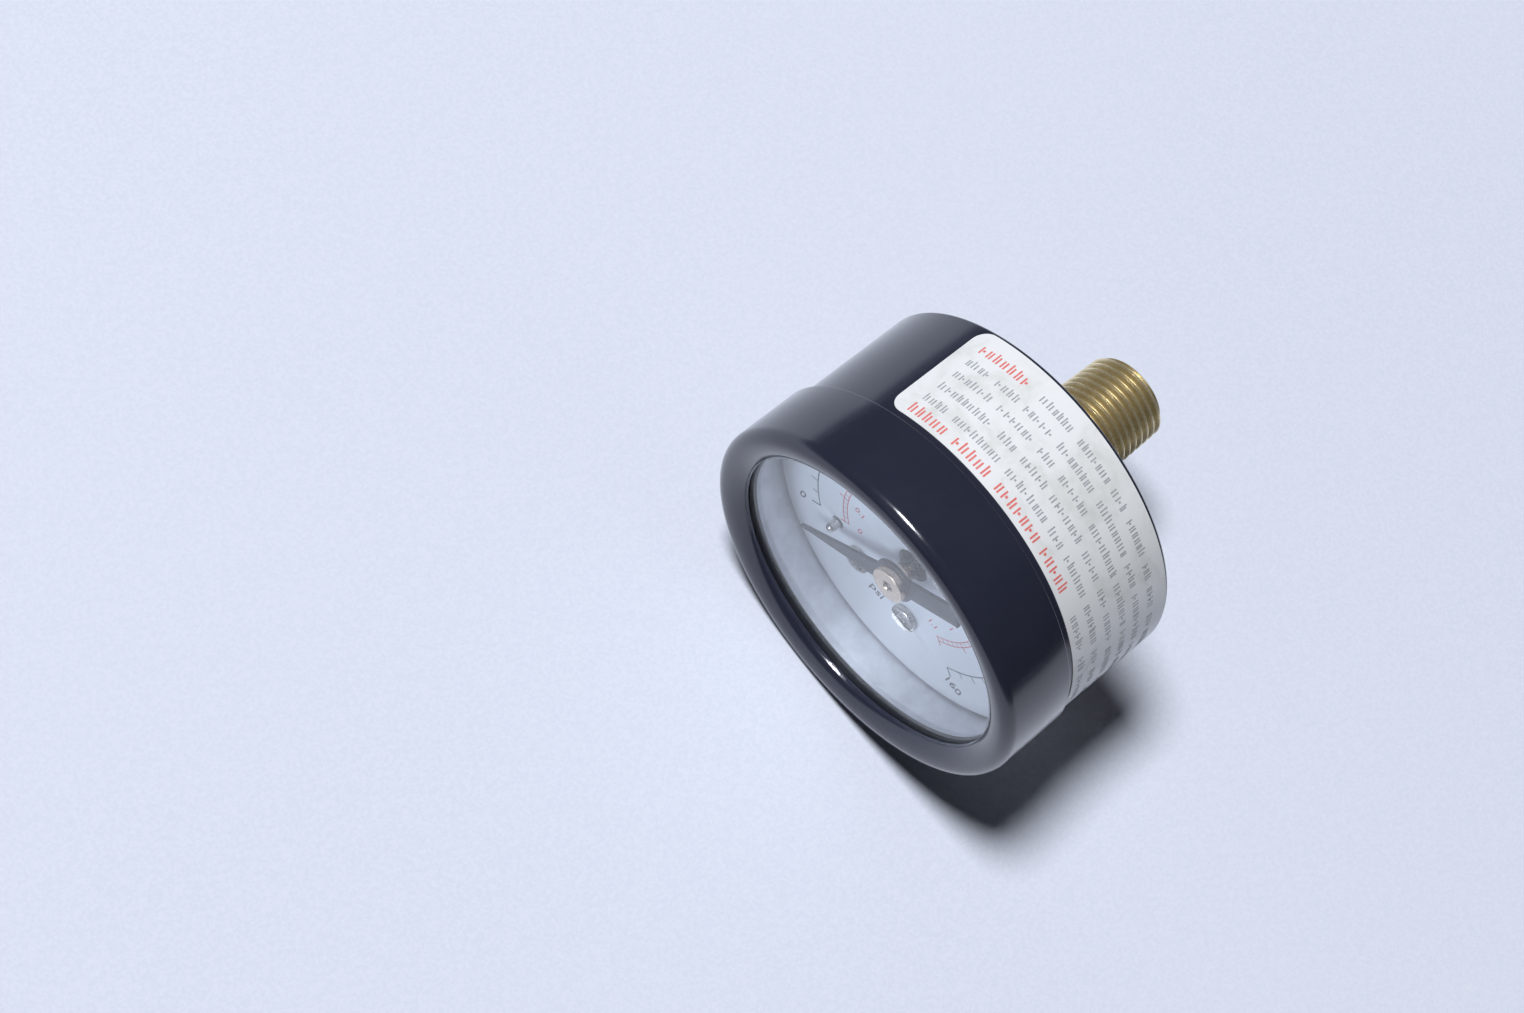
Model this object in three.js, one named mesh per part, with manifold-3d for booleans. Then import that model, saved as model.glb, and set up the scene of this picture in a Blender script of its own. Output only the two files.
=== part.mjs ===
// Bourdon-tube pressure gauge: 40 mm nominal dial, centre-back 1/8-27 NPT connection.
// Millimetres, +Z up (12 o'clock on the dial), +Y runs from the dial towards the stem,
// so the dial faces -Y. The origin is the centre of the stem's end face.
import * as THREE from 'three';
import { mergeVertices } from 'three/addons/utils/BufferGeometryUtils.js';
import Module from 'manifold-3d';

const wasm = await Module();
wasm.setup();

// ---------------------------------------------------------------- dimensions
// Every "s" is a distance behind the bezel's front face; y = s - OVERALL.
const OVERALL = 40.1;            // bezel front to stem end
const BEZEL_R = 21.3;            // bezel outer radius
const BEZEL_LEN = 8.8;           // bezel axial length
const BEZEL_CORNER = 1.35;       // front outer corner radius
const BEZEL_BORE = 20.85;        // inside of the skirt, over the case
const OPENING_R = 17.72;         // window opening
const LIP_ROLL = [[19.374, 0.055], [18.82, 0.22], [18.305, 0.487], [17.852, 0.848]];   // rolled face of the lip, falling towards the opening
const LIP = 1.55;                // depth of the lip's inner face
const CASE_R = 20.7;             // case outer radius
const CASE_WALL = 0.75;
const CASE_FRONT = 3.75;         // case mouth
const CASE_BACK = 23.6;          // outside of the back wall
const CASE_CORNER = 0.4;
const ROUND = 60;                // facets of the case, the bezel and the label's cylinder
const BACK_WALL = 0.9;
const WINDOW = [1.6, 3.1];     // front and back faces of the window
const WINDOW_R = 20.4;
const DIAL = [8.9, 9.4];         // front and back faces of the dial plate
const DIAL_R = 19.5;
const DIAL_HOLE_R = 2.0;
const DIAL_SCREW = [3.9, -9.2];  // x (mirrored) and z of the two dial screws
const SQUARE = 11.0;             // wrench square across flats
const SQUARE_END = 28.9;
const WRENCH_START = 23.9;       // the wrench flats start clear of the back wall
const THREAD = [29.7, OVERALL];  // threaded length
const THREAD_PITCH = 25.4 / 27;
const THREAD_END_R = 4.99;       // crest radius at the small end
const TAPER = 1 / 32;            // radius growth per mm, 1:16 on diameter
const THREAD_DEPTH = 0.70;
const BORE_R = 1.75;

// movement
const FRONT_PLATE = [11.0, 11.8];
const REAR_PLATE = [17.4, 18.2];
const MODULE = 0.14;             // gear module
const PINION_TEETH = 12;
const SECTOR_TEETH = 144;        // teeth of the full circle that the sector is cut from
const CENTRES = MODULE * (PINION_TEETH + SECTOR_TEETH) / 2;
const SECTOR_DIR = -48;          // degrees, direction from the dial axis to the sector's axis
const TOOTH = 0.19;              // tooth thickness at the pitch circle, with backlash
const FACE_PINION = [14.4, 16.2];
const FACE_SECTOR = [15.0, 15.8];
const SECTOR_AT = [CENTRES * Math.cos(SECTOR_DIR * Math.PI / 180), CENTRES * Math.sin(SECTOR_DIR * Math.PI / 180)];
const LINK_DIR = [0.4432, 0.8964];
const TAIL = 3.6;                // sector axis to link pin
const LINK_LEN = 5.0;
const PIN_A = [SECTOR_AT[0] + TAIL * LINK_DIR[1], SECTOR_AT[1] - TAIL * LINK_DIR[0]];
const PIN_B = [PIN_A[0] + LINK_LEN * LINK_DIR[0], PIN_A[1] + LINK_LEN * LINK_DIR[1]];
const PILLARS = [[-7.0, -2.5], [5.5, 7.5]];
const MOVEMENT_SCREWS = [[-3.3, 1.2], [3.3, 1.2]];
const TUBE_R = 15.2;             // centre line of the Bourdon tube
const TUBE_S = 15.25;            // its middle, axially
const TUBE_HALF = [0.8, 2.2];    // radial and axial half sizes
const TUBE_WALL = 0.25;
const TUBE_ARC = [262, -12];     // fixed end, free end, degrees
const POINTER_REST = 224;        // degrees, needle direction at rest
const POINTER = [6.15, 6.55];
const CASE_SCREW_X = 8.3;

// ---------------------------------------------------------------- helpers
const Y = s => s - OVERALL;
const rad = d => d * Math.PI / 180;
const polar = (r, deg) => [r * Math.cos(rad(deg)), r * Math.sin(rad(deg))];

// closed three.js geometry -> solid, welded, faces out
function solid(geometry) {
  let g = geometry.index ? geometry.toNonIndexed() : geometry.clone();
  for (const name of Object.keys(g.attributes)) if (name !== 'position') g.deleteAttribute(name);
  g = mergeVertices(g, 1e-4);
  const p = g.attributes.position.array, ix = g.index.array, tri = [];
  let volume = 0;
  for (let i = 0; i < ix.length; i += 3) {
    const [a, b, c] = [ix[i], ix[i + 1], ix[i + 2]];
    if (a === b || b === c || c === a) continue;
    tri.push(a, b, c);
    const [A, B, C] = [a, b, c].map(k => new THREE.Vector3(p[3 * k], p[3 * k + 1], p[3 * k + 2]));
    volume += A.dot(B.cross(C));
  }
  if (volume < 0) for (let i = 0; i < tri.length; i += 3) [tri[i], tri[i + 1]] = [tri[i + 1], tri[i]];
  return new wasm.Manifold(new wasm.Mesh({ numProp: 3, vertProperties: new Float32Array(p), triVerts: new Uint32Array(tri) }));
}

function geometryOf(manifold) {
  const m = manifold.getMesh();
  const g = new THREE.BufferGeometry();
  const n = m.numProp, v = m.vertProperties, count = v.length / n, pos = new Float32Array(count * 3);
  for (let i = 0; i < count; i++) for (let k = 0; k < 3; k++) pos[3 * i + k] = v[n * i + k];
  g.setAttribute('position', new THREE.BufferAttribute(pos, 3));
  g.setIndex(new THREE.BufferAttribute(new Uint32Array(m.triVerts), 1));
  g.computeVertexNormals();
  return g;
}

const cut = (a, ...rest) => rest.reduce((x, b) => x.subtract(b), a);
const join = (a, ...rest) => rest.reduce((x, b) => x.add(b), a);

// profile of [radius, s] pairs turned about the Y axis; closed unless it ends on the axis
function turned(profile, segments = 48) {
  const pts = profile.map(([r, s]) => new THREE.Vector2(r, Y(s)));
  if (profile[0][0] > 0 || profile[profile.length - 1][0] > 0) pts.push(pts[0].clone());
  return solid(new THREE.LatheGeometry(pts, segments));
}

// the same about a line parallel to Y through (x, z)
function turnedAt([x, z], profile, segments = 20) {
  return turned(profile, segments).translate([x, 0, z]);
}

const rod = ([x, z], r, s0, s1, segments = 20) => turnedAt([x, z], [[0, s0], [r, s0], [r, s1], [0, s1]], segments);

// outline of [x, z] points as a plate from s0 to s1
function plate(outline, s0, s1, holes = []) {
  const shape = new THREE.Shape(outline.map(([x, z]) => new THREE.Vector2(x, z)));
  for (const h of holes) shape.holes.push(new THREE.Path(h.map(([x, z]) => new THREE.Vector2(x, z))));
  const g = new THREE.ExtrudeGeometry(shape, { depth: s1 - s0, bevelEnabled: false, steps: 1 });
  g.rotateX(Math.PI / 2);
  g.translate(0, Y(s1), 0);
  return solid(g);
}

const ring = (x, z, r, n = 20) => Array.from({ length: n }, (_, i) => [x + r * Math.cos(2 * Math.PI * i / n), z + r * Math.sin(2 * Math.PI * i / n)]);

function box(x0, x1, s0, s1, z0, z1) {
  const g = new THREE.BoxGeometry(x1 - x0, s1 - s0, z1 - z0);
  g.translate((x0 + x1) / 2, Y((s0 + s1) / 2), (z0 + z1) / 2);
  return solid(g);
}

// convex outline around circles [x, z, r]
function hullOutline(circles, n = 18) {
  const pts = circles.flatMap(([x, z, r]) => ring(x, z, r, n)).sort((a, b) => a[0] - b[0] || a[1] - b[1]);
  const turn = (o, a, b) => (a[0] - o[0]) * (b[1] - o[1]) - (a[1] - o[1]) * (b[0] - o[0]);
  const half = list => {
    const h = [];
    for (const p of list) {
      while (h.length > 1 && turn(h[h.length - 2], h[h.length - 1], p) <= 1e-9) h.pop();
      h.push(p);
    }
    h.pop();
    return h;
  };
  return [...half(pts), ...half([...pts].reverse())];
}

// arc points in a profile: centre, radius, from angle to angle
const arc = (cr, cs, r, a0, a1, n) => Array.from({ length: n + 1 }, (_, i) => {
  const a = rad(a0 + (a1 - a0) * i / n);
  return [cr + r * Math.cos(a), cs + r * Math.sin(a)];
});

const gauge = new THREE.Group();
function piece(name, manifold, color, roughness, metalness) {
  const mesh = new THREE.Mesh(geometryOf(manifold), new THREE.MeshStandardMaterial({ color, roughness, metalness }));
  mesh.name = name;
  gauge.add(mesh);
}
const BLACK = [0x14151a, 0.16, 0.0], BRASS = [0xb49a55, 0.32, 1.0], STEEL = [0xb9bcc0, 0.28, 1.0], BRONZE = [0xb07a4a, 0.35, 1.0];

// ---------------------------------------------------------------- case
// Drawn cup, open to the front, with a square hole for the socket and two screw holes.
{
  const inner = CASE_R - CASE_WALL, rc = CASE_CORNER;
  const cup = turned([
    [0, CASE_BACK],
    ...arc(CASE_R - rc, CASE_BACK - rc, rc, 90, 0, 3),
    [CASE_R, CASE_FRONT], [inner, CASE_FRONT],
    [inner, CASE_BACK - BACK_WALL - 0.5], [inner - 0.5, CASE_BACK - BACK_WALL],
    [0, CASE_BACK - BACK_WALL],
  ], ROUND);
  const hole = SQUARE / 2 + 0.2;
  const back = [CASE_BACK - 3, CASE_BACK + 3];
  piece('case', cut(cup,
    box(-hole, hole, back[0], back[1], -hole, hole),
    rod([CASE_SCREW_X, 0], 1.15, back[0], back[1], 14),
    rod([-CASE_SCREW_X, 0], 1.15, back[0], back[1], 14)), ...BLACK);
}

// ---------------------------------------------------------------- bezel
// Pressed-on ring: thin skirt over the case, front lip that holds the window.
piece('bezel', turned([
  [BEZEL_BORE, BEZEL_LEN], [BEZEL_R - 0.12, BEZEL_LEN], [BEZEL_R, BEZEL_LEN - 0.12],
  ...arc(BEZEL_R - BEZEL_CORNER, BEZEL_CORNER, BEZEL_CORNER, 0, -90, 4),
  ...LIP_ROLL, [OPENING_R, 1.02], [OPENING_R, LIP], [BEZEL_BORE, LIP],
], ROUND), ...BLACK);

// ---------------------------------------------------------------- window and its gasket
piece('window', turned([
  [0, WINDOW[0]], [WINDOW_R - 0.2, WINDOW[0]], [WINDOW_R, WINDOW[0] + 0.2],
  [WINDOW_R, WINDOW[1]], [0, WINDOW[1]],
], 48), 0xdfe8f0, 0.03, 0.0);

piece('window_gasket', turned([
  [17.6, 3.15], [20.4, 3.15], [20.4, 3.68], [17.6, 3.68],
], 48), 0x1a1a1c, 0.7, 0.0);

// ---------------------------------------------------------------- dial, its screws and spacers, stop pin
const STOP = [-8.25, -8.15];
piece('dial', plate(ring(0, 0, DIAL_R, 60), DIAL[0], DIAL[1], [
  ring(0, 0, DIAL_HOLE_R, 20), ring(-DIAL_SCREW[0], DIAL_SCREW[1], 0.92, 12), ring(DIAL_SCREW[0], DIAL_SCREW[1], 0.92, 12), ring(...STOP, 0.5, 10),
]), 0xf1f2f2, 0.45, 0.0);

// slotted pan-head screw along +Y: head front at s, under the head at s + h
function screw(at, headR, h, shankR, s, end, slotDeg, slotW) {
  const head = turnedAt(at, [
    [0, s], [headR * 0.75, s + 0.04], [headR, s + h * 0.45], [headR, s + h],
    [shankR, s + h], [shankR, end], [0, end],
  ], 14);
  const slot = new THREE.BoxGeometry(headR * 2.4, h * 0.9, slotW);
  slot.rotateY(-rad(slotDeg));
  slot.translate(at[0], Y(s), at[1]);
  return cut(head, solid(slot));
}
const HEAD = 0.8;
for (const [side, sx, deg] of [['left', -1, -4], ['right', 1, 3]]) {
  const at = [sx * DIAL_SCREW[0], DIAL_SCREW[1]];
  piece(`dial_screw_${side}`, screw(at, 1.65, HEAD, 0.8, DIAL[0] - HEAD - 0.03, 12.3, deg, 0.42), ...STEEL);
  piece(`dial_spacer_${side}`, turnedAt(at, [[0.92, DIAL[1] + 0.04], [1.8, DIAL[1] + 0.04], [1.8, FRONT_PLATE[0] - 0.04], [0.92, FRONT_PLATE[0] - 0.04]], 14), ...BRASS);
}
piece('stop_pin', turnedAt(STOP, [
  [0, 7.4], [0.3, 7.47], [0.5, 7.67], [0.56, 7.95], [0.56, DIAL[0] - 0.04], [0.42, DIAL[0] - 0.04], [0.42, 10.1], [0, 10.1],
], 12), ...STEEL);

// ---------------------------------------------------------------- socket
// One brass piece: flange inside the case, block that carries the movement, foot for the
// Bourdon tube, wrench square, tapered pipe thread, and the pressure passage.
{
  const thread = [];
  const crest = s => THREAD_END_R + (THREAD[1] - s) * TAPER;
  for (let s = THREAD[1] - 0.62; s > THREAD[0] + 0.3; s -= THREAD_PITCH) {
    thread.push([crest(s), s], [crest(s - 0.47) - THREAD_DEPTH, s - 0.47]);
  }
  const stem = turned([
    [0, 21.0], [5.0, 21.0], [5.0, THREAD[0]], [crest(THREAD[0]) - THREAD_DEPTH, THREAD[0] + 0.05],
    ...thread.reverse(),
    [THREAD_END_R - THREAD_DEPTH + 0.05, THREAD[1]], [0, THREAD[1]],
  ], 28);
  const half = SQUARE / 2;
  const chamfer = turned([[0, 20], [7.35, 20], [7.35, SQUARE_END - 0.7], [6.2, SQUARE_END], [0, SQUARE_END]], 28);
  // the square is relieved by 0.1 mm a side where it passes through the back wall
  const neck = half - 0.1;
  const square = join(box(-neck, neck, 22.5, WRENCH_START + 0.1, -neck, neck), box(-half, half, WRENCH_START, SQUARE_END, -half, half)).intersect(chamfer);
  const flange = plate(hullOutline([[-CASE_SCREW_X, 0, 2.2], [CASE_SCREW_X, 0, 2.2], [-4.5, 4.6, 1.2], [4.5, 4.6, 1.2], [-4.5, -4.6, 1.2], [4.5, -4.6, 1.2]], 16), 20.1, 22.65);
  const core = box(-5, 5, 18.3, 20.5, -4.6, 4.6);
  const foot = join(box(-4, 4, 20.1, 22.65, -17, -4), box(-4, 4, 12.1, 21, -17, -11.3));
  const pocket = box(-5, -1.8, TUBE_S - TUBE_HALF[1] - 0.15, TUBE_S + TUBE_HALF[1] + 0.15, -16.1, -13.55);
  const bore = rod([0, 0], BORE_R, 20.7, THREAD[1] + 1, 14);
  const mouth = turned([[0, THREAD[1] - 0.5], [BORE_R - 0.02, THREAD[1] - 0.5], [BORE_R + 0.6, THREAD[1] + 0.1], [0, THREAD[1] + 0.1]], 14);
  const down = new THREE.CylinderGeometry(0.7, 0.7, 15.3, 8);
  down.rotateX(Math.PI / 2);
  down.translate(0, Y(21.5), -15.3 / 2);
  const along = rod([0, -14.8], 0.7, TUBE_S - 0.4, 21.8, 8);
  const across = new THREE.CylinderGeometry(0.6, 0.6, 3.2, 8);
  across.rotateZ(Math.PI / 2);
  across.translate(-1.4, Y(TUBE_S), -14.8);
  piece('socket', cut(join(stem, square, flange, core, foot), pocket, bore, mouth, solid(down), along, solid(across),
    ...[-1, 1].map(k => rod([k * CASE_SCREW_X, 0], 1.0, 20.3, 23.5, 14)),
    ...MOVEMENT_SCREWS.map(at => rod(at, 0.7, 18, 20.2, 12))), ...BRASS);
}

// throttle screw inside the stem's bore
piece('restrictor', cut(
  turned([[0.25, 36.1], [BORE_R - 0.08, 36.1], [BORE_R - 0.08, 38.3], [0.25, 38.3]], 14),
  box(-2, 2, 37.8, 38.7, -0.25, 0.25)), ...BRASS);

// case screws, driven in from behind
for (const [side, k] of [['left', -1], ['right', 1]]) {
  const front = screw([k * CASE_SCREW_X, 0], 1.9, 1.1, 0.93, 0, 4.1, 30 * k, 0.5);
  // turned end for end, so that the head is behind the back wall
  const m = front.mirror([0, 1, 0]).translate([0, Y(CASE_BACK + 0.05 + 1.1) + Y(0), 0]);
  piece(`case_screw_${side}`, m, ...STEEL);
}

// ---------------------------------------------------------------- movement plates, pillars, screws
const plateOutline = hullOutline([[...PILLARS[0], 2.1], [...PILLARS[1], 2.1], [...SECTOR_AT, 2.1]]);
const frontOutline = hullOutline([[...PILLARS[0], 2.1], [...PILLARS[1], 2.1], [...SECTOR_AT, 2.1], [-DIAL_SCREW[0], DIAL_SCREW[1], 2.1], [DIAL_SCREW[0], DIAL_SCREW[1], 2.1]]);
piece('front_plate', plate(frontOutline, FRONT_PLATE[0], FRONT_PLATE[1], [
  ring(0, 0, 0.56, 14), ring(...SECTOR_AT, 0.56, 14), ...PILLARS.map(p => ring(...p, 0.74, 10)),
  ring(-DIAL_SCREW[0], DIAL_SCREW[1], 0.92, 12), ring(DIAL_SCREW[0], DIAL_SCREW[1], 0.92, 12),
]), ...BRASS);
piece('rear_plate', plate(plateOutline, REAR_PLATE[0], REAR_PLATE[1], [
  ring(0, 0, 0.46, 14), ring(...SECTOR_AT, 0.56, 14), ...PILLARS.map(p => ring(...p, 0.88, 10)),
  ...MOVEMENT_SCREWS.map(p => ring(...p, 0.76, 10)),
]), ...BRASS);
PILLARS.forEach((p, i) => {
  const side = ['left', 'right'][i];
  piece(`pillar_${side}`, cut(
    turnedAt(p, [[0, FRONT_PLATE[1] + 0.04], [1.4, FRONT_PLATE[1] + 0.04], [1.4, REAR_PLATE[0] - 0.04], [0.8, REAR_PLATE[0] - 0.04], [0.8, REAR_PLATE[1] + 0.05], [0, REAR_PLATE[1] + 0.05]], 12),
    rod(p, 0.7, 11, 14.4, 10)), ...BRASS);
  piece(`plate_screw_${side}`, screw(p, 1.25, 0.7, 0.62, FRONT_PLATE[0] - 0.73, 14.0, 20 + 50 * i, 0.3), ...STEEL);
});
MOVEMENT_SCREWS.forEach((p, i) => {
  piece(`movement_screw_${['left', 'right'][i]}`, screw(p, 1.25, 0.7, 0.62, REAR_PLATE[0] - 0.73, 20.0, -35 + 80 * i, 0.3), ...STEEL);
});

// ---------------------------------------------------------------- gears
// half the tooth's angle at radius r, for an involute of 20 degrees
function halfAngle(r, rp, rb) {
  const inv = a => Math.tan(a) - a;
  const at = x => inv(Math.acos(Math.min(1, rb / x)));
  return TOOTH / 2 / rp + at(rp) - at(Math.max(r, rb));
}
function toothPoints(centreDeg, teeth, root, tip) {
  const rp = MODULE * teeth / 2, rb = rp * Math.cos(rad(20));
  const radii = [root, Math.max(root + 0.02, Math.min(rb, rp)), rp, (rp + tip) / 2, tip].filter((r, i, all) => i === 0 || r > all[i - 1] + 1e-3);
  const lower = radii.map(r => [r, rad(centreDeg) - halfAngle(r, rp, rb)]);
  const upper = radii.map(r => [r, rad(centreDeg) + halfAngle(r, rp, rb)]).reverse();
  return [...lower, ...upper].map(([r, a]) => [r * Math.cos(a), r * Math.sin(a)]);
}
{
  const rp = MODULE * PINION_TEETH / 2;
  const outline = [];
  for (let i = 0; i < PINION_TEETH; i++) outline.push(...toothPoints(SECTOR_DIR + i * 360 / PINION_TEETH, PINION_TEETH, rp - 1.25 * MODULE, rp + MODULE));
  const shaft = turned([
    [0, 5.6], [0.55, 5.6], [0.55, 10.2], [0.5, 10.3], [0.5, 13.9], [0.62, 13.9], [0.62, 17.0],
    [0.4, 17.0], [0.4, 18.05], [0, 18.05],
  ], 14);
  piece('pinion_arbor', join(plate(outline, FACE_PINION[0], FACE_PINION[1]), shaft), ...STEEL);
}
{
  const rp = MODULE * SECTOR_TEETH / 2, root = rp - 1.25 * MODULE, tip = rp + MODULE, step = 360 / SECTOR_TEETH;
  const mesh = SECTOR_DIR + 180;                 // direction from the sector's axis to the pinion
  const first = mesh + 1.5 * step, count = 14;   // teeth run clockwise from here
  const pts = [];
  const fan0 = mesh + 2.3 * step, fan1 = mesh + (1.5 - count + 0.2) * step;
  pts.push(polar(root, fan0));
  for (let i = 0; i < count; i++) pts.push(...toothPoints(first - i * step, SECTOR_TEETH, root, tip).reverse());
  pts.push(polar(root, fan1));
  // spoke sides and hub
  pts.push(polar(8.4, fan1 - 1), polar(2.4, fan1 - 14));
  for (let d = fan1 - 40; d > fan0 - 330; d -= 15) pts.push(polar(1.7, d));
  pts.push(polar(2.4, fan0 + 14), polar(8.4, fan0 + 1));
  const body = plate(pts.map(([x, z]) => [x + SECTOR_AT[0], z + SECTOR_AT[1]]), FACE_SECTOR[0], FACE_SECTOR[1]);
  const tail = plate(hullOutline([[...SECTOR_AT, 1.5], [...PIN_A, 0.95]], 20), FACE_SECTOR[0], FACE_SECTOR[1]);
  // window in the fan
  const w0 = fan0 - 7, w1 = fan1 + 7, win = [];
  for (let i = 0; i <= 6; i++) win.push(polar(8.3, w1 + (w0 - w1) * i / 6));
  win.push(polar(4.6, (w0 + w1) / 2 + 4), polar(4.6, (w0 + w1) / 2 - 4));
  const opening = plate(win.map(([x, z]) => [x + SECTOR_AT[0], z + SECTOR_AT[1]]), FACE_SECTOR[0] - 1, FACE_SECTOR[1] + 1);
  piece('sector_gear', cut(join(body, tail), opening, rod(SECTOR_AT, 0.64, 14, 17, 18), rod(PIN_A, 0.44, 14, 17, 14)), ...BRASS);
}
piece('sector_arbor', turnedAt(SECTOR_AT, [
  [0, 11.05], [0.5, 11.05], [0.5, 12.1], [1.0, 12.1], [1.0, 14.95], [0.6, 14.95], [0.6, 16.0], [0.9, 16.0], [0.9, 17.1], [0.5, 17.1], [0.5, 18.1], [0, 18.1],
], 12), ...STEEL);

// ---------------------------------------------------------------- hairspring
piece('hairspring_collet', turned([[0.54, 12.3], [1.1, 12.3], [1.1, 13.5], [0.54, 13.5]], 16), ...BRASS);
{
  const turns = 4, r0 = 1.24, r1 = 4.3, n = 18 * turns, t = 0.06;
  const outer = [], inner = [];
  for (let i = 0; i <= n; i++) {
    const a = 360 * turns * i / n + 150, r = r0 + (r1 - r0) * i / n;
    outer.push(polar(r + t, a));
    inner.push(polar(r - t, a));
  }
  piece('hairspring', plate([...outer, ...inner.reverse()], 12.65, 13.15), ...BRONZE);
  piece('hairspring_stud', rod(polar(r1 + 0.55, 150), 0.42, FRONT_PLATE[1] + 0.04, 13.5, 10), ...BRASS);
}

// ---------------------------------------------------------------- Bourdon tube, its tip, the link
{
  const n = 26, m = 10, pos = [], tri = [];
  const section = (k, hr, ha) => {               // super-ellipse: flat sides, round ends
    const a = 2 * Math.PI * k / m, c = Math.cos(a), s = Math.sin(a);
    return [hr * Math.sign(c) * Math.abs(c) ** 0.7, ha * Math.sign(s) * Math.abs(s) ** 0.8];
  };
  const shells = [[TUBE_HALF[0], TUBE_HALF[1]], [TUBE_HALF[0] - TUBE_WALL, TUBE_HALF[1] - TUBE_WALL]];
  const id = (shell, i, k) => (shell * (n + 1) + i) * m + (k % m);
  for (let shell = 0; shell < 2; shell++) for (let i = 0; i <= n; i++) {
    const phi = rad(TUBE_ARC[0] + (TUBE_ARC[1] - TUBE_ARC[0]) * i / n);
    for (let k = 0; k < m; k++) {
      const [dr, da] = section(k, ...shells[shell]);
      const r = TUBE_R + dr;
      pos.push(r * Math.cos(phi), Y(TUBE_S + da), r * Math.sin(phi));
    }
  }
  for (let i = 0; i < n; i++) for (let k = 0; k < m; k++) {
    tri.push(id(0, i, k), id(0, i + 1, k), id(0, i + 1, k + 1), id(0, i, k), id(0, i + 1, k + 1), id(0, i, k + 1));
    tri.push(id(1, i, k), id(1, i + 1, k + 1), id(1, i + 1, k), id(1, i, k), id(1, i, k + 1), id(1, i + 1, k + 1));
  }
  for (let k = 0; k < m; k++) {
    tri.push(id(0, 0, k), id(0, 0, k + 1), id(1, 0, k + 1), id(0, 0, k), id(1, 0, k + 1), id(1, 0, k));
    tri.push(id(0, n, k), id(1, n, k + 1), id(0, n, k + 1), id(0, n, k), id(1, n, k), id(1, n, k + 1));
  }
  const g = new THREE.BufferGeometry();
  g.setAttribute('position', new THREE.BufferAttribute(new Float32Array(pos), 3));
  g.setIndex(tri);
  piece('bourdon_tube', solid(g), ...BRONZE);
}
{
  const a0 = TUBE_ARC[1] - 0.4, a1 = a0 - 6;
  const cap = [];
  for (let i = 0; i <= 4; i++) cap.push(polar(TUBE_R + 1.15, a0 + (a1 - a0) * i / 4));
  for (let i = 4; i >= 0; i--) cap.push(polar(TUBE_R - 1.15, a0 + (a1 - a0) * i / 4));
  const lug = plate(hullOutline([[...polar(TUBE_R - 0.2, a1 + 1.5), 0.8], [...PIN_B, 1.0]], 18), 14.8, 15.8);
  piece('tube_tip', cut(join(plate(cap, 14.8, TUBE_S + TUBE_HALF[1] + 0.3), lug), rod(PIN_B, 0.44, 14, 17, 14)), ...BRASS);
}
const pin = at => turnedAt(at, [[0, 13.3], [0.5, 13.3], [0.72, 13.45], [0.72, 13.75], [0.4, 13.75], [0.4, 15.95], [0, 15.95]], 10);
piece('tip_pin', pin(PIN_B), ...STEEL);
piece('sector_pin', pin(PIN_A), ...STEEL);
piece('link', plate(hullOutline([[...PIN_A, 1.0], [...PIN_B, 1.0]], 20), 14.0, 14.5, [ring(...PIN_B, 0.46, 12), ring(...PIN_A, 0.53, 12)]), ...STEEL);

// ---------------------------------------------------------------- pointer
{
  // drawn pointing along +X, then turned to the rest direction
  const outline = [];
  for (let d = 28; d <= 150; d += 12.2) outline.push(polar(2.6, d));
  outline.push([-8.9, 1.66], [-9.25, 1.34], [-9.25, -1.34], [-8.9, -1.66]);
  for (let d = 210; d <= 332; d += 12.2) outline.push(polar(2.6, d));
  outline.push([14.3, -0.14], [14.55, 0], [14.3, 0.14]);
  const c = Math.cos(rad(POINTER_REST)), s = Math.sin(rad(POINTER_REST));
  const turn = ([x, z]) => [x * c - z * s, x * s + z * c];
  piece('pointer', plate(outline.map(turn), POINTER[0], POINTER[1], [ring(0, 0, 1.16, 20)]), 0x1b1b1e, 0.5, 0.0);
}
piece('pointer_hub', turned([
  [0.6, 5.25], [1.95, 5.25], [2.1, 5.4], [2.1, POINTER[0] - 0.03], [1.12, POINTER[0] - 0.03],
  [1.12, POINTER[1] + 0.03], [1.5, POINTER[1] + 0.03], [1.35, 7.1], [1.0, 8.2], [0.6, 8.2],
], 18), ...BRASS);

// ---------------------------------------------------------------- label
// Thin paper label bent round the case.
{
  const pts = [], n = 30, r0 = CASE_R + 0.03, r1 = CASE_R + 0.12, a0 = 133.3, a1 = a0 - 180;
  for (let i = 0; i <= n; i++) pts.push(polar(r1, a0 + (a1 - a0) * i / n));
  for (let i = n; i >= 0; i--) pts.push(polar(r0, a0 + (a1 - a0) * i / n));
  piece('label', plate(pts, 9.7, 23.1), 0xeeeeec, 0.5, 0.0);
}

export default gauge;
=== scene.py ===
"""Looks for the pressure gauge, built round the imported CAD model. Lengths in the helpers are
millimetres; the meshes are scaled to metres as they are made. "s" is the distance behind the
bezel's front face, so y = s - OVERALL."""
import math
import random

import bpy
import bmesh
from mathutils import Matrix, Vector


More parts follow.
